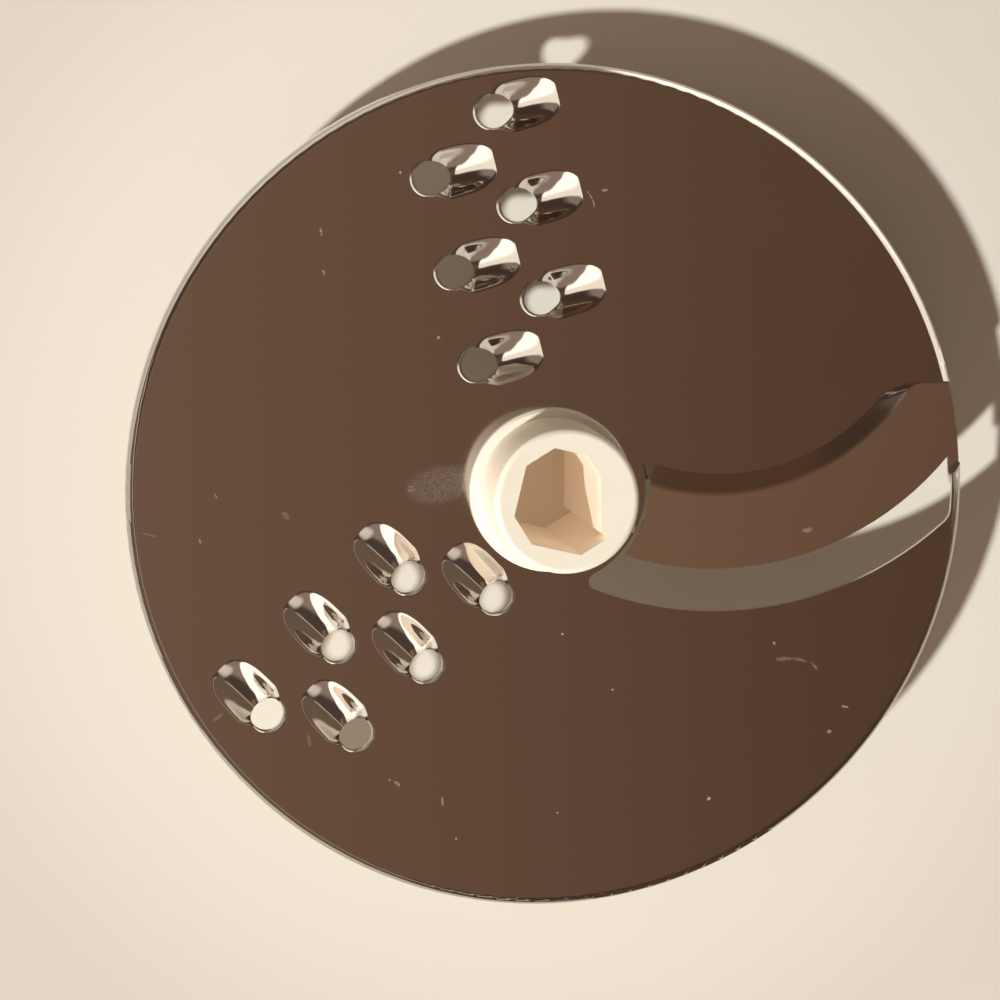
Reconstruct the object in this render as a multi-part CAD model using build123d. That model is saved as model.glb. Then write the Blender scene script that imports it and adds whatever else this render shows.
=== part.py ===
from build123d import *
import os
from math import acos, atan2, cos, degrees, hypot, radians, sin, sqrt

# A reversible disc for a compact food processor, in millimetres. One sheet of steel carries grating
# teeth on its upper face and a slicing blade pressed out towards its lower face. A plastic hub is
# moulded through its middle. The hub stands on z = 0 and its axis is the Z axis.

# Sheet and rim
disc_diameter = 130.0
sheet_thickness = 0.8
rim_bend_radius = 1.3

# Hub
boss_height = 15.0
boss_end_diameter = 22.0
boss_root_diameter = 22.5
boss_edge_round = 0.9
flange_diameter = 25.2
flange_thickness = 1.6
flange_edge_chamfer = 0.4
hub_hole_diameter = 19.2
hub_hole_flats = 18.2
gate_angle = -24.0
gate_width = 1.0
gate_stands_out = 0.5
gate_height = 0.8
gate_below_end = 1.6

# Drive socket: a square with its corners cut off, and a key along one side
socket_corner_radius = 8.4
socket_turn = 31.5
socket_half_corner = 17.5
key_face = 5.0
key_top = 3.7
key_slope_angle = 123.0
key_foot = -4.8

# Grating teeth: two sets, each of two rows of three, staggered by half a pitch
tooth_set_angles = (104.25, 223.6)
tooth_set_rim_gaps = (6.8, 10.05)
tooth_set_hub_gaps = (8.9, 4.95)
tooth_set_offsets = (-0.1, 0.05)
teeth_per_row = 3
tooth_row_gap = 11.85
tooth_hole_diameter = 5.2
tooth_dish_width = 0.25
tooth_dish_offset = 0.5
tooth_dish_depth = 0.6
tooth_length = 9.9
tooth_half_width = 3.45
tooth_height = 2.6
tooth_foot_depth = 0.2
tooth_foot_slack = 0.32
tooth_crown_slack = 0.72

# Sections of a tooth's dome from beside its hole's centre to its far end, as shares of its length, height
# and width
tooth_sections = (
    (0.0, -0.04, 0.8), (0.14, 0.62, 0.93), (0.29, 0.98, 1.0), (0.46, 0.92, 1.0),
    (0.65, 0.76, 0.98), (0.83, 0.46, 0.88), (0.95, 0.12, 0.66), (1.0, -0.04, 0.5),
)

# Slicing blade: arcs about one centre, cut free along the slot and beside the hub
blade_center = (27.0, 34.1)
riser_top_radius = 32.3
riser_width = 3.6
blade_width = 11.4
blade_depth = 2.0
blade_bevel_width = 1.3
blade_edge_land = 0.15
slot_width = 6.4
slot_inner_round = 1.3
slot_outer_round = 3.0
slot_rim_strip = 1.6
slit_radius = 14.9
slit_width = 1.1
slit_end_angle = 1.5
slit_relief_diameter = 1.4
pocket_end_y = 15.6
pocket_end_riser = 0.5
pocket_top_round = 10.0
pocket_floor_round = 3.0

# Heights worked out from the sizes above
disc_radius = disc_diameter / 2
inner_radius = disc_radius - sheet_thickness
face_bottom = boss_height
face_top = face_bottom + sheet_thickness
hub_height = face_top + boss_height
blade_top = face_top - blade_depth
blade_bottom = blade_top - sheet_thickness
rim_bottom = blade_bottom
crease_radius = riser_top_radius + riser_width
edge_radius = crease_radius + blade_width
slot_radius = edge_radius + slot_width
slot_end_radius = disc_radius - slot_rim_strip
center_distance = hypot(*blade_center)
center_angle = degrees(atan2(blade_center[1], blade_center[0]))

# Margins: how far a cut runs past what it cuts, how near an edge counts as there, and how far the
# pressed form and the space above it run into the slot and the rim, as shares of their widths
overrun = 3.0
near = 0.05
form_into_slot = 0.45
space_into_slot = 0.3
form_into_rim = 0.25


def on_circle(radius, angle, center=(0.0, 0.0)):
    """A point at an angle in degrees on a circle in plan."""
    return (center[0] + radius * cos(radians(angle)), center[1] + radius * sin(radians(angle)))


def crossing(blade_radius, disc_circle):
    """Where an arc about the blade's centre crosses a circle about the hub's axis, below the centre line."""
    turn = (center_distance**2 + disc_circle**2 - blade_radius**2) / (2 * center_distance * disc_circle)
    return on_circle(disc_circle, center_angle - degrees(acos(turn)))


def arc(center, radius, start, end, clockwise=False):
    """An arc about a centre from one point on it to another."""
    first = degrees(atan2(start[1] - center[1], start[0] - center[0]))
    last = degrees(atan2(end[1] - center[1], end[0] - center[0]))
    sweep = -((first - last) % 360) if clockwise else (last - first) % 360
    return ThreePointArc(start, on_circle(radius, first + sweep / 2, center), end)


def sheet_with_rim():
    """The flat sheet with its edge bent down all round, and the hole that the hub grips."""
    bend = disc_radius - rim_bend_radius
    bend_center = (bend, face_top - rim_bend_radius)
    outside = CenterArc(bend_center, rim_bend_radius, 0, 90)
    inside = CenterArc(bend_center, rim_bend_radius - sheet_thickness, 0, 90)
    outline = [
        Line((0, face_top), (bend, face_top)),
        outside,
        Line((disc_radius, bend_center[1]), (disc_radius, rim_bottom)),
        Line((disc_radius, rim_bottom), (inner_radius, rim_bottom)),
        Line((inner_radius, rim_bottom), (inner_radius, bend_center[1])),
        inside,
        Line((bend, face_bottom), (0, face_bottom)),
        Line((0, face_bottom), (0, face_top)),
    ]
    sheet = revolve(Plane.XZ * make_face(outline), axis=Axis.Z)
    grip = Circle(hub_hole_diameter / 2) & Rectangle(hub_hole_flats, hub_hole_diameter)
    return sheet - Pos(0, 0, face_bottom - overrun) * extrude(grip, sheet_thickness + 2 * overrun)


def pocket_outline(arc_radius, left_radius, end_y, far_radius, corner_round):
    """One level of the pressed pocket in plan. Its far sides lie in the slot and beyond the rim."""
    beyond = disc_radius + overrun
    left = crossing(arc_radius, left_radius)
    corner = (blade_center[0] + sqrt(arc_radius**2 - (blade_center[1] - end_y) ** 2), end_y)
    low_right = crossing(far_radius, disc_radius + overrun / 2)
    low_left = crossing(far_radius, left_radius)
    outline = [
        arc(blade_center, arc_radius, left, corner),
        Line(corner, (beyond, end_y)),
        Line((beyond, end_y), low_right),
        arc(blade_center, far_radius, low_right, low_left, clockwise=True),
        arc((0, 0), left_radius, low_left, left),
    ]
    face = make_face(outline)
    rounded = face.vertices().sort_by_distance((corner[0], corner[1], 0))[0]
    return fillet(rounded, corner_round)


def pocket(into_slot):
    """The space that the press leaves over the blade, from the sheet's top down to its upper face."""
    far_radius = edge_radius + into_slot * slot_width
    floor_y = pocket_end_y - pocket_end_riser
    top = pocket_outline(riser_top_radius, slit_radius, pocket_end_y, far_radius, pocket_top_round)
    floor = pocket_outline(crease_radius, slit_radius + slit_width, floor_y, far_radius, pocket_floor_round)
    return loft([Pos(0, 0, face_top) * top, Pos(0, 0, blade_top) * floor], ruled=True)


def slot_and_slit():
    """The slot in front of the blade's edge, and the slit that frees the blade beside the hub."""
    edge_left = crossing(edge_radius, slit_radius)
    edge_right = crossing(edge_radius, slot_end_radius)
    lip_right = crossing(slot_radius, slot_end_radius)
    lip_left = crossing(slot_radius, slit_radius)
    slot = make_face([
        arc(blade_center, edge_radius, edge_left, edge_right),
        arc((0, 0), slot_end_radius, edge_right, lip_right, clockwise=True),
        arc(blade_center, slot_radius, lip_right, lip_left, clockwise=True),
        arc((0, 0), slit_radius, lip_left, edge_left),
    ])
    slot = fillet(slot.vertices().sort_by_distance((*lip_right, 0))[0], slot_outer_round)
    slot = fillet(slot.vertices().sort_by_distance((*lip_left, 0))[0], slot_inner_round)

    slit_outer = slit_radius + slit_width
    slit_start = degrees(atan2(edge_left[1], edge_left[0]))
    inner_start, outer_start = on_circle(slit_radius, slit_start), on_circle(slit_outer, slit_start)
    inner_end, outer_end = on_circle(slit_radius, slit_end_angle), on_circle(slit_outer, slit_end_angle)
    slit = make_face([
        arc((0, 0), slit_radius, inner_start, inner_end),
        Line(inner_end, outer_end),
        arc((0, 0), slit_outer, outer_end, outer_start, clockwise=True),
        Line(outer_start, inner_start),
    ])
    relief = Pos(*on_circle(slit_radius + slit_width / 2, slit_end_angle)) * Circle(slit_relief_diameter / 2)
    cut = slot + slit + relief
    return Pos(0, 0, rim_bottom - overrun) * extrude(cut, face_top - rim_bottom + 2 * overrun)


def blade_bevel():
    """What is ground off the blade's lower face to make its cutting edge."""
    left, right = crossing(edge_radius, slit_radius), crossing(edge_radius, slot_end_radius - overrun)
    start = degrees(atan2(left[1] - blade_center[1], left[0] - blade_center[0]))
    end = degrees(atan2(right[1] - blade_center[1], right[0] - blade_center[0]))
    edge_z = blade_top - blade_edge_land
    section = Polyline(
        (edge_radius - blade_bevel_width, blade_bottom),
        (edge_radius, edge_z),
        (edge_radius + overrun, edge_z),
        (edge_radius + overrun, blade_bottom - overrun),
        (edge_radius - blade_bevel_width, blade_bottom - overrun),
        close=True,
    )
    c, s = cos(radians(start)), sin(radians(start))
    plane = Plane(origin=(*blade_center, 0), x_dir=(c, s, 0), z_dir=(s, -c, 0))
    return revolve(plane * make_face(section), axis=Axis((*blade_center, 0), (0, 0, 1)),
                   revolution_arc=(end - start) % 360)


def bell(half_width, low, high, bottom):
    """One section of a dome in plan view of its own plane: a foot that runs out flat and a round crown."""
    foot, crown = (1 - tooth_foot_slack) * half_width, tooth_crown_slack * half_width
    left = Bezier((-half_width, low), (-foot, low), (-crown, high), (0, high))
    right = Bezier((0, high), (crown, high), (foot, low), (half_width, low))
    below = Polyline((half_width, low), (half_width, bottom), (-half_width, bottom), (-half_width, low))
    return make_face([left, right, *below.edges()])


def dome(inset, bottom):
    """A dome lofted along X through its sections, inset from its outer surface."""
    sections = []
    for along, height, width in tooth_sections:
        x = along * (tooth_length - inset)
        high = max(height * tooth_height - inset, near - tooth_foot_depth - inset)
        section = bell(width * tooth_half_width - inset, -tooth_foot_depth - inset, high, bottom)
        sections.append(Plane(origin=(x, 0, 0), x_dir=(0, 1, 0), z_dir=(1, 0, 0)) * section)
    return loft(sections)


def tooth():
    """One raised tooth on the sheet's top at z = 0, with its hole at the origin and its dome towards +X."""
    return dome(0, -sheet_thickness / 2 - tooth_foot_depth / 2)


def tooth_hollow():
    """The hollow under the dome and the hole that cuts its lip, dished at its edge, more so at the front."""
    hole_radius = tooth_hole_diameter / 2
    upright = (Align.CENTER, Align.CENTER, Align.MIN)
    hole_depth = 2 * sheet_thickness + tooth_height + overrun
    hole = Pos(0, 0, -2 * sheet_thickness) * Cylinder(hole_radius, hole_depth, align=upright)
    rim = Pos(-tooth_dish_offset, 0, 0) * Circle(hole_radius + tooth_dish_width)
    dish = loft([Pos(0, 0, -tooth_dish_depth) * Circle(hole_radius), rim])
    return dome(sheet_thickness, -2.5 * sheet_thickness) + hole + dish


def tooth_places():
    """Where the teeth stand: rows lie along each set's own radius, with the domes turned clockwise."""
    places = []
    for angle, offset, rim_gap, hub_gap in zip(
            tooth_set_angles, tooth_set_offsets, tooth_set_rim_gaps, tooth_set_hub_gaps):
        outer, inner = disc_radius - rim_gap, flange_diameter / 2 + hub_gap
        pitch = (outer - inner) / (teeth_per_row - 0.5)
        frame = Plane(origin=(0, 0, face_top), x_dir=(*on_circle(1, angle - 90), 0), z_dir=(0, 0, 1))
        for row, side in enumerate((1, -1)):
            for place in range(teeth_per_row):
                out = outer - pitch * (place + row / 2)
                places.append(frame.location * Pos(offset + side * tooth_row_gap / 2, out, 0))
    return places


def cutting_disc():
    """The whole pressed sheet: blade, slot and cutting edge first, then the teeth."""
    inside_rim = Pos(0, 0, hub_height / 2) * Cylinder(inner_radius + form_into_rim * sheet_thickness, hub_height)
    form = Pos(0, 0, -sheet_thickness) * pocket(form_into_slot) & inside_rim
    disc = sheet_with_rim() + form - pocket(space_into_slot) - slot_and_slit() - blade_bevel()
    places = tooth_places()
    raised, hollow = tooth(), tooth_hollow()
    disc += [place * raised for place in places]
    return disc - [place * hollow for place in places]


def drive_socket():
    """The socket right through the hub, in plan: the driver's section less the key."""
    corners = [socket_turn + 90 * k + side * socket_half_corner for k in (1, 2, 3) for side in (-1, 1)]
    points = [on_circle(socket_corner_radius, a) for a in corners]
    top_edge = on_circle(socket_corner_radius, corners[0])
    side_normal = radians(socket_turn + 45)
    reach = top_edge[0] * cos(side_normal) + top_edge[1] * sin(side_normal)
    slope_x, slope_y = cos(radians(key_slope_angle)), sin(radians(key_slope_angle))
    run = (reach - key_face * cos(side_normal) - key_top * sin(side_normal)) / (
        slope_x * cos(side_normal) + slope_y * sin(side_normal))
    key = [(key_face, key_foot), (key_face, key_top), (key_face + run * slope_x, key_top + run * slope_y)]
    return make_face(Polyline(*points, *key, close=True))


def hub(disc):
    """The moulding: bosses with a little draft, a flange on each face of the sheet, and the socket."""
    end, root, flange = boss_end_diameter / 2, boss_root_diameter / 2, flange_diameter / 2
    low, high = face_bottom - flange_thickness, face_top + flange_thickness
    section = make_face(Polyline(
        (0, 0), (end, 0), (root, low), (flange, low), (flange, high), (root, high), (end, hub_height),
        (0, hub_height), close=True,
    ))
    for z in (0, hub_height):
        section = fillet(section.vertices().sort_by_distance((end, z, 0))[0], boss_edge_round)
    for z in (low, high):
        section = chamfer(section.vertices().sort_by_distance((flange, z, 0))[0], flange_edge_chamfer)
    body = revolve(Plane.XZ * section, axis=Axis.Z)
    gate_depth = 2 * gate_stands_out
    gate = Box(gate_depth, gate_width, gate_height, align=(Align.CENTER, Align.CENTER, Align.MAX))
    body += Rot(0, 0, gate_angle) * Pos(end, 0, hub_height - gate_below_end) * gate
    body -= Pos(0, 0, -overrun) * extrude(drive_socket(), hub_height + 2 * overrun)
    return body - disc


os.makedirs("parts", exist_ok=True)
steel = cutting_disc()
export_step(steel, "parts/cutting_disc.step")
export_step(hub(steel), "parts/hub.step")
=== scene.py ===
from math import cos, hypot, radians, sin

import bpy
from mathutils import Matrix


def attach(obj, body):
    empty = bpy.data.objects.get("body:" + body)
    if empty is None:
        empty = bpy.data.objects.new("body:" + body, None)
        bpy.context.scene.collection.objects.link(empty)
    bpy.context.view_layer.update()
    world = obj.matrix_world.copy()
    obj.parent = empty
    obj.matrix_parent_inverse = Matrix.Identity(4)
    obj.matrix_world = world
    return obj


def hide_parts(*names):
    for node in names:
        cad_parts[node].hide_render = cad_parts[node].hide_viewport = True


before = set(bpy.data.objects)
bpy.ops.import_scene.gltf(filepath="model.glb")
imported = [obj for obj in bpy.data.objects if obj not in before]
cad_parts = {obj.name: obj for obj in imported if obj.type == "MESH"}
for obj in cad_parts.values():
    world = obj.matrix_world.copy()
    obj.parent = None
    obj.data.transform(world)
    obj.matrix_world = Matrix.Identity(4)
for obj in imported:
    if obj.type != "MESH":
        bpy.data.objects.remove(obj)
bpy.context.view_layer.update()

# The cutting disc is one pressed sheet of polished stainless steel, with its rim turned down, its
# grating teeth pushed up and its slicing blade pushed down. Use has left fine scratches and specks
# on the polish, and beside the hub the polish is paler and duller in a soft oval.
face_top, disc_radius, flange_radius = 0.0158, 0.065, 0.0126
merge_distance, level_normal = 2e-6, 0.9999
mm_per_m = 1000


class Wire:
    """A socket in a node tree. Arithmetic on it adds Math nodes."""

    def __init__(self, tree, socket):
        self.tree, self.socket = tree, socket

    def node(self, kind, settings, sockets, output=0):
        """Adds a node with its settings, then the values or wires of its sockets."""
        made = self.tree.nodes.new(kind)
        for name, value in settings.items():
            if name == "stops":
                while len(made.color_ramp.elements) < len(value):
                    made.color_ramp.elements.new(0.5)
                for stop, (place, colour) in zip(made.color_ramp.elements, value):
                    stop.position, stop.color = place, (*colour, 1)
            else:
                setattr(made, name, value)
        for name, value in sockets.items():
            if isinstance(value, Wire):
                self.tree.links.new(value.socket, made.inputs[name])
            else:
                made.inputs[name].default_value = value
        return Wire(self.tree, made.outputs[output])

    def maths(self, operation, *values):
        return self.node("ShaderNodeMath", {"operation": operation}, dict(enumerate(values)))

    def __add__(self, other):
        return self.maths("ADD", self, other)

    def __sub__(self, other):
        return self.maths("SUBTRACT", self, other)

    def __rsub__(self, other):
        return self.maths("SUBTRACT", other, self)

    def __mul__(self, other):
        return self.maths("MULTIPLY", self, other)

    def __truediv__(self, other):
        return self.maths("DIVIDE", self, other)

    __radd__, __rmul__ = __add__, __mul__

    def absolute(self):
        return self.maths("ABSOLUTE", self)

    def root(self):
        return self.maths("SQRT", self)

    def axes(self):
        """The X, Y and Z of a place or a direction."""
        return [self.node("ShaderNodeSeparateXYZ", {}, {0: self}, axis) for axis in range(3)]

    def noise(self, scale, detail):
        """A noise from 0 to 1 over a place."""
        sockets = {"Vector": self, "Scale": scale, "Detail": detail}
        return self.node("ShaderNodeTexNoise", {}, sockets, "Fac")

    def step(self, low, high):
        """A smooth rise from 0 at low to 1 at high."""
        settings = {"interpolation_type": "SMOOTHSTEP"}
        return self.node("ShaderNodeMapRange", settings, {0: self, 1: low, 2: high})

    def mixed(self, low, high):
        """A colour that goes from low to high as this value goes from 0 to 1."""
        low, high = [(*end, 1) if isinstance(end, tuple) else end for end in (low, high)]
        return self.node("ShaderNodeMix", {"data_type": "RGBA"}, {0: self, 6: low, 7: high}, 2)

    def into(self, shader, name):
        self.tree.links.new(self.socket, shader.inputs[name])


def new_finish(name):
    """A material with its shader and its place on the piece in metres."""
    material = bpy.data.materials.new(name)
    material.use_nodes = True
    tree = material.node_tree
    place = tree.nodes.new("ShaderNodeTexCoord").outputs["Object"]
    return material, tree.nodes["Principled BSDF"], Wire(tree, place)


def cad_copy(node, name):
    """A node's own form as one joined mesh to work on."""
    piece = bpy.data.objects.new(name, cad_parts[node].data.copy())
    bpy.context.collection.objects.link(piece)
    bpy.ops.object.select_all(action="DESELECT")
    piece.select_set(True)
    bpy.context.view_layer.objects.active = piece
    bpy.ops.mesh.customdata_custom_splitnormals_clear()
    bpy.ops.object.mode_set(mode="EDIT")
    bpy.ops.mesh.select_mode(type="FACE")
    bpy.ops.mesh.select_all(action="SELECT")
    bpy.ops.mesh.remove_doubles(threshold=merge_distance)
    bpy.ops.mesh.select_all(action="DESELECT")
    bpy.ops.object.mode_set(mode="OBJECT")
    return piece


def shade_crisply(piece, angle):
    """Shades a piece smoothly up to an angle, with its level faces dead flat."""
    bpy.ops.object.shade_smooth_by_angle(angle=radians(angle))
    for polygon in piece.data.polygons:
        polygon.select = abs(polygon.normal.z) > level_normal
    bpy.ops.object.mode_set(mode="EDIT")
    bpy.ops.mesh.mod_weighted_strength(set=True, face_strength="STRONG")
    bpy.ops.object.mode_set(mode="OBJECT")
    bpy.ops.object.modifier_add(type="WEIGHTED_NORMAL")
    piece.modifiers[-1].use_face_influence = True
    piece.modifiers[-1].keep_sharp = True
    bpy.ops.object.modifier_apply(modifier=piece.modifiers[-1].name)


# Each set of teeth has its angle in degrees, its offset, and its gaps to the rim and to the flange.
# A dome's sections are shares of its length, its height and its half width.
tooth_sets = ((104.25, -0.1e-3, 6.8e-3, 8.9e-3), (223.6, 0.05e-3, 10.05e-3, 4.95e-3))
teeth_per_row, tooth_row_gap = 3, 11.85e-3
tooth_length, tooth_half_width, tooth_height = 9.9e-3, 3.45e-3, 2.6e-3
tooth_sections = (
    (0.0, -0.04, 0.8), (0.14, 0.64, 0.93), (0.22, 0.94, 1.0), (0.3, 0.98, 1.0), (0.46, 0.89, 1.0),
    (0.65, 0.72, 0.96), (0.83, 0.45, 0.82), (0.95, 0.16, 0.6), (1.01, 0.0, 0.42),
)
crown_slack, foot_spread, foot_slack, foot_sunk = 0.68, 0.5e-3, 0.25, 4e-6
hole_radius, dish_radius, dish_offset, dish_depth = 2.6e-3, 2.85e-3, 0.5e-3, 0.6e-3
dish_start, dish_sweep, dish_roll = 55.5, 249, 2.4
dome_steps, dish_steps, lip_halvings = (40, 44), (64, 6), 24
skin_margin, level_margin, tooth_axis_depth = 1e-3, 5e-6, 0.5e-3
least_outward, least_upward = 0.3, 0.15


def tooth_places():
    """Where the teeth stand and which way their domes point."""
    places = []
    for angle, offset, rim_gap, hub_gap in tooth_sets:
        turn = Matrix.Rotation(radians(angle - 90), 4, "Z")
        outer, inner = disc_radius - rim_gap, flange_radius + hub_gap
        pitch = (outer - inner) / (teeth_per_row - 0.5)
        for row, side in enumerate((1, -1)):
            for step in range(teeth_per_row):
                at = (offset + side * tooth_row_gap / 2, outer - pitch * (step + row / 2), face_top)
                places.append(turn @ Matrix.Translation(at))
    return places


def through_sections(along, column):
    """A tooth's height or width at a share of its length, on a smooth curve through its sections."""
    knots = [section[0] for section in tooth_sections]
    values = [section[column] for section in tooth_sections]
    rises = [(values[k + 1] - values[k]) / (knots[k + 1] - knots[k]) for k in range(len(knots) - 1)]
    slopes = [rises[0]] + [(a + b) / 2 for a, b in zip(rises, rises[1:])] + [rises[-1]]
    k = min(sum(along >= knot for knot in knots[1:]), len(rises) - 1)
    span = knots[k + 1] - knots[k]
    t = (along - knots[k]) / span
    return (values[k] * (1 + 2 * t) * (1 - t) ** 2 + slopes[k] * span * t * (1 - t) ** 2
            + values[k + 1] * t * t * (3 - 2 * t) + slopes[k + 1] * span * t * t * (t - 1))


def dome_point(share, across):
    """A point on a tooth's dome. Its section is a bell with a full crown and a foot that runs out."""
    along = share * tooth_sections[-1][0]
    high = through_sections(along, 1) * tooth_height
    half = through_sections(along, 2) * tooth_half_width
    wide = half + foot_spread
    foot, crown = wide * (1 - foot_slack), half * crown_slack
    t = 1 - abs(across)
    out = wide * (1 - t) ** 3 + foot * 3 * t * (1 - t) ** 2 + crown * 3 * t * t * (1 - t)
    up = high * (3 * t * t * (1 - t) + t**3) - foot_sunk
    return along * tooth_length, out if across > 0 else -out, up


def lip_share(across):
    """The share of a tooth's length at which its hole cuts a line along the dome."""
    inside, outside = 0.0, 0.5
    for _ in range(lip_halvings):
        middle = (inside + outside) / 2
        in_hole = hypot(*dome_point(middle, across)[:2]) < hole_radius
        inside, outside = (middle, outside) if in_hole else (inside, middle)
    return outside


def trimmed_dome_point(u, v):
    """A point on a dome from its lip, at u = 0, to its far end, and from one foot to the other."""
    lip = lip_share(2 * v - 1)
    return dome_point(lip + u * (1 - lip), 2 * v - 1)


def dish_point(u, v):
    """A point on the rolled edge of a tooth's hole, round its front and from the hole to the face."""
    turn = radians(dish_start + dish_sweep * u)
    rim = (1 - v) * hole_radius + v * dish_radius
    return rim * cos(turn) - v * dish_offset, rim * sin(turn), -dish_depth * (1 - v) ** dish_roll


def under_skin(at, normal):
    """Whether a face of the pressing, placed from a tooth, is one that the tooth's finer skin replaces."""
    along_tooth = -skin_margin < at.x < tooth_length + skin_margin
    if at.z > level_margin and along_tooth and abs(at.y) < tooth_half_width + skin_margin:
        outward = normal.y * at.y + normal.z * (at.z + tooth_axis_depth)
        return outward > least_outward * hypot(at.y, at.z + tooth_axis_depth)
    round_hole = hole_radius < hypot(at.x, at.y) < dish_radius + dish_offset
    return -dish_depth < at.z < -level_margin and round_hole and normal.z > least_upward


steel_disc = cad_copy("cutting_disc", "steel_disc")
stands = tooth_places()
for to_tooth in [stand.inverted() for stand in stands]:
    turn = to_tooth.to_3x3()
    for polygon in steel_disc.data.polygons:
        polygon.select |= under_skin(to_tooth @ polygon.center, turn @ polygon.normal)
bpy.ops.object.mode_set(mode="EDIT")
bpy.ops.mesh.delete(type="FACE")
bpy.ops.object.mode_set(mode="OBJECT")
shade_crisply(steel_disc, 20)

bpy.ops.object.select_all(action="DESELECT")
patches = []
for surface, (steps_along, steps_across) in ((dish_point, dish_steps), (trimmed_dome_point, dome_steps)):
    bpy.ops.mesh.primitive_grid_add(x_subdivisions=steps_along, y_subdivisions=steps_across, size=1)
    patches.append(bpy.context.object)
    for vertex in patches[-1].data.vertices:
        vertex.co = surface(vertex.co.x + 0.5, vertex.co.y + 0.5)
    bpy.ops.object.shade_smooth()
patches[0].select_set(True)
bpy.ops.object.join()
tooth_skin = bpy.context.object
for stand in stands:
    bpy.ops.object.select_all(action="DESELECT")
    tooth_skin.select_set(True)
    bpy.context.view_layer.objects.active = tooth_skin
    bpy.ops.object.duplicate()
    bpy.context.object.data.transform(stand)
    steel_disc.select_set(True)
    bpy.context.view_layer.objects.active = steel_disc
    bpy.ops.object.join()
bpy.data.objects.remove(tooth_skin)

# Each mark has its place, its half length and half width in millimetres, and its angle in degrees.
mark_sizes = {
    "pale_oval": [(-17.1, 1.0, 5.5, 3.0, 10)],
    "dash": [(-35.2, 39.9, 0.7, 0.2, 100), (-34.8, 33.7, 0.55, 0.17, 115), (8.35, 45.7, 0.55, 0.2, 8),
             (-51.4, 0.0, 0.5, 0.14, 120), (-53.9, -6.8, 0.5, 0.14, 110), (-23.8, -45.1, 0.65, 0.25, 140),
             (-25.0, -44.5, 0.3, 0.15, 120), (-16.8, -48.1, 0.8, 0.18, 95), (46.7, -35.1, 0.6, 0.2, 165)],
    "speck": [(25.05, -49.0, 0.34, 0.3, 0), (44.2, -39.0, 0.34, 0.3, 0), (35.35, -24.8, 0.28, 0.25, 0),
              (-17.3, 23.6, 0.28, 0.25, 0), (-14.7, -54.0, 0.2, 0.2, 0), (1.9, -22.5, 0.22, 0.2, 0),
              (9.8, -31.4, 0.2, 0.2, 0), (1.2, -50.4, 0.18, 0.18, 0), (-23.1, 48.7, 0.2, 0.2, 0)],
    "scuff": [(36.9, -27.3, 1.5, 0.35, 0), (39.4, -27.5, 1.3, 0.25, 165), (41.8, -28.6, 0.9, 0.25, 130),
              (40.9, -7.5, 0.9, 0.4, 10), (-40.8, -3.2, 0.8, 0.4, 130), (-21.5, 0.5, 0.7, 0.5, 0),
              (-37.4, -37.9, 1.2, 0.25, 100), (-61.5, -5.7, 1.4, 0.12, 165), (-51.4, -34.0, 1.0, 0.3, 40)],
}
mark_strengths = {"pale_oval": 0.13, "dash": 0.5, "speck": 0.8, "scuff": 0.22}
hair_place, hair_slope, hair_bend, hair_strength = (6.1, 44.9), 0.62, 0.16, 0.45
hair_span = (6.6, 44.5, 1.7, 1.2, 120)
blade_height, crumb_scale, streak_scale, cloud_scale = 13.8, 2600.0, 4000.0, 90.0
face_tone, blade_painted_reflection_tone, mark_tone = (0.56, 0.53, 0.50), (0.86, 0.83, 0.77), (0.62, 0.53, 0.45)
steel, shader, place = new_finish("polished_steel")
x, y, z = (distance * mm_per_m for distance in place.axes())


def oval(spot_x, spot_y, half_length, half_width, angle):
    """1 inside a soft oval on the face, in millimetres, and 0 outside it."""
    c, s = cos(radians(angle)), sin(radians(angle))
    along = ((x - spot_x) * c + (y - spot_y) * s) / half_length
    across = ((y - spot_y) * c - (x - spot_x) * s) / half_width
    return (along * along + across * across).step(1.3, 0.3)


marks = sum(oval(*size) * mark_strengths[kind] for kind, sizes in mark_sizes.items() for size in sizes)
up_hair = y - hair_place[1]
off_hair = x - hair_place[0] + up_hair * hair_slope + up_hair * up_hair * hair_bend
marks = marks + off_hair.absolute().step(0.16, 0.05) * oval(*hair_span) * hair_strength
from_blade_up = z.step(blade_height - 0.2, blade_height)
marks = marks * from_blade_up * place.noise(crumb_scale, 4.0).step(0.25, 0.6)
# On the blade the base colour is paler: a painted reflection, brighter than the face's.
on_blade = z.step(blade_height + 0.4, blade_height + 0.1)
grain_turn, grain_stretch = (0, 0, radians(20)), (0.04, 1, 1)
along_grain = {"Vector": place, "Rotation": grain_turn, "Scale": grain_stretch}
streaks = place.node("ShaderNodeMapping", {}, along_grain).noise(streak_scale, 3.0)
clouds = place.noise(cloud_scale, 5.0)
marks.mixed(on_blade.mixed(face_tone, blade_painted_reflection_tone), mark_tone).into(shader, "Base Color")
(1 - marks * 0.8).into(shader, "Metallic")
(0.05 + streaks * 0.03 + clouds * 0.04 + marks * 0.4).into(shader, "Roughness")
steel_disc.data.materials.clear()
steel_disc.data.materials.append(steel)
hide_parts("cutting_disc")
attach(steel_disc, "root")

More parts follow.
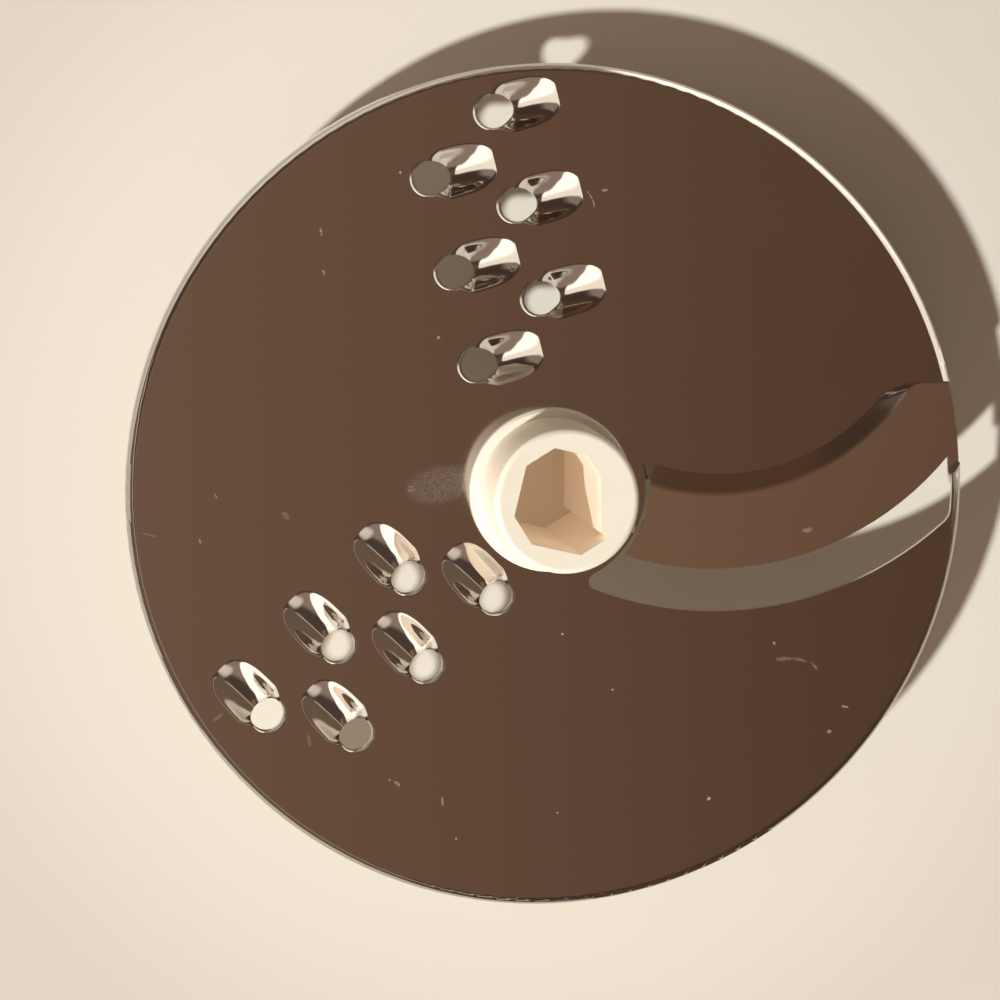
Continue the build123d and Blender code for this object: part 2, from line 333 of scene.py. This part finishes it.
# The hub is cream white plastic, moulded through the disc in one shot, with a boss and a flange on
# each face and the drive socket right through it. Light seeps through its walls, and a faint glow in
# the socket stands for that.
moulded_hub = cad_copy("hub", "moulded_hub")
shade_crisply(moulded_hub, 30)
cream_tones = (0.90, 0.865, 0.745), (0.915, 0.885, 0.775)
no_glow, socket_glow = (0.0, 0.0, 0.0), (0.11, 0.066, 0.046)
hub_height, glow_below_end, glow_radius, plain_radius = 30.8, 0.6, 8.602, 9.487
mould_cloud_scale = 160.0
cream, shader, place = new_finish("cream_plastic")
clouds = place.noise(mould_cloud_scale, 6.0)
clouds.step(0.3, 0.7).mixed(*cream_tones).into(shader, "Base Color")
(0.30 + clouds * 0.12).into(shader, "Roughness")
x, y, z = (distance * mm_per_m for distance in place.axes())
in_socket = (x * x + y * y).step(plain_radius**2, glow_radius**2)
in_socket = in_socket * z.step(hub_height, hub_height - glow_below_end)
in_socket.mixed(no_glow, socket_glow).into(shader, "Emission Color")
shader.inputs["Emission Strength"].default_value = 1.0
moulded_hub.data.materials.clear()
moulded_hub.data.materials.append(cream)
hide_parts("hub")
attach(moulded_hub, "root")

# The table is plain and pale, with a faint grain, and far larger than the view. It is a little paler
# round the disc than further out; the darkening further out is painted shade, a falloff of the light.
table_size, middle_radius, outer_radius, grain_scale = 6, 0.072, 0.110, 900.0
middle_tone, painted_falloff_tone, grain_tone = (0.83, 0.805, 0.725), (0.73, 0.705, 0.63), (0.72, 0.69, 0.60)
bpy.ops.object.select_all(action="DESELECT")
bpy.ops.mesh.primitive_plane_add(size=table_size, location=(0, 0, 0))
table = bpy.context.object
table.name = "table"
paper, shader, place = new_finish("pale_table")
x, y = place.axes()[:2]
# Darker further out from the disc: painted shade.
tone = (x * x + y * y).root().step(middle_radius, outer_radius).mixed(middle_tone, painted_falloff_tone)
(place.noise(grain_scale, 6.0) * 0.08).mixed(tone, grain_tone).into(shader, "Base Color")
shader.inputs["Roughness"].default_value = 0.9
shader.inputs["Specular IOR Level"].default_value = 0.1
table.data.materials.append(paper)

# One lamp stands half way up on the left, a little to the front, and throws the disc's shadow to the
# upper right.
lamp_azimuth, lamp_elevation = 212.0, 45.5
bpy.ops.object.light_add(type="SUN", location=(0, 0, 1),
                         rotation=(0, radians(90 - lamp_elevation), radians(lamp_azimuth)))
lamp = bpy.context.object
lamp.name = "lamp"
lamp.data.energy = 3.3
lamp.data.color = (1.0, 0.985, 0.94)
lamp.data.angle = radians(3.5)
lamp.visible_glossy = False

# The room that the polish mirrors is dark and warm, with pale walls low on the left, a window on the
# right and a thin light line. The light that falls on plain surfaces comes from a dim room with a
# bright strip low on the left.
room = bpy.data.worlds.new("room")
bpy.context.scene.world = room
room.use_nodes = True
tree = room.node_tree
x, y, z = Wire(tree, tree.nodes.new("ShaderNodeTexCoord").outputs["Generated"]).axes()
ceiling_stops = [(0.45, (0.40, 0.255, 0.168)), (0.53, (0.275, 0.163, 0.104)), (0.64, (0.122, 0.061, 0.036))]
ceiling = x.node("ShaderNodeValToRGB", {"stops": ceiling_stops}, {0: x * 0.5 + 0.5})
window = y.step(0.15, 0.4).mixed((1.50, 1.35, 1.15), (2.3, 2.15, 1.85))
front_right = x.step(-0.15, 0.05)
room_parts = {
    "far wall": (y.step(0.48, 0.72), (0.42, 0.30, 0.235)),
    "ceiling": ((x * 0.16 + y * -0.13 + z * 0.98).step(0.945, 0.975), ceiling),
    "front wall": ((x * 0.3 - y * 0.9).step(0.32, 0.48) * front_right, (0.085, 0.051, 0.036)),
    "front wall's foot": ((y * -1).step(0.72, 0.80) * front_right, (0.13, 0.065, 0.036)),
    "far left wall": ((y * 0.78 - x * 0.62).step(0.72, 0.84), (1.10, 0.97, 0.84)),
    "right wall's foot": (x.step(0.72, 0.86) * y.step(-0.62, -0.5), (0.38, 0.29, 0.23)),
    "window": (x.step(0.29, 0.37) * y.step(-0.16, -0.06), window),
    "left wall": ((x * -0.95 + y * 0.3).step(0.88, 0.95), (1.00, 0.86, 0.70)),
    "front left wall": ((x * -0.38 - y * 0.925).step(0.90, 0.96), (0.95, 0.82, 0.60)),
    "light line": ((x + y + 0.56).absolute().step(0.07, 0.03) * z.step(0.6, 0.75), (0.80, 0.68, 0.58)),
}
shade = (x + y).step(-0.50, -0.46).mixed((0.22, 0.145, 0.10), (0.11, 0.077, 0.06))
for where, colour in room_parts.values():
    shade = where.mixed(shade, colour)
low_left = (x * -0.85 - y * 0.53).step(0.3, 0.7) * z.step(0.5, 0.2)
plain = low_left.mixed((0.15, 0.10, 0.074), (4.2, 3.1, 2.4))
mirrored = Wire(tree, tree.nodes.new("ShaderNodeLightPath").outputs["Is Glossy Ray"])
mirrored.mixed(plain, shade).into(tree.nodes["Background"], "Color")
tree.nodes["Background"].inputs["Strength"].default_value = 1.0

# The camera looks down on the disc, a little from the upper left, from about 0.7 m. The whole disc
# and most of its shadow are in its view.
bpy.ops.object.camera_add(location=(-0.12207, 0.08906, 0.70045),
                          rotation=(radians(-7.436), radians(-9.471), radians(0.02)))
camera = bpy.context.object
camera.data.sensor_width = 36.0
camera.data.lens = 164.8
camera.data.clip_start, camera.data.clip_end = 0.01, 20
scene = bpy.context.scene
scene.camera = camera
scene.view_settings.view_transform = "Standard"
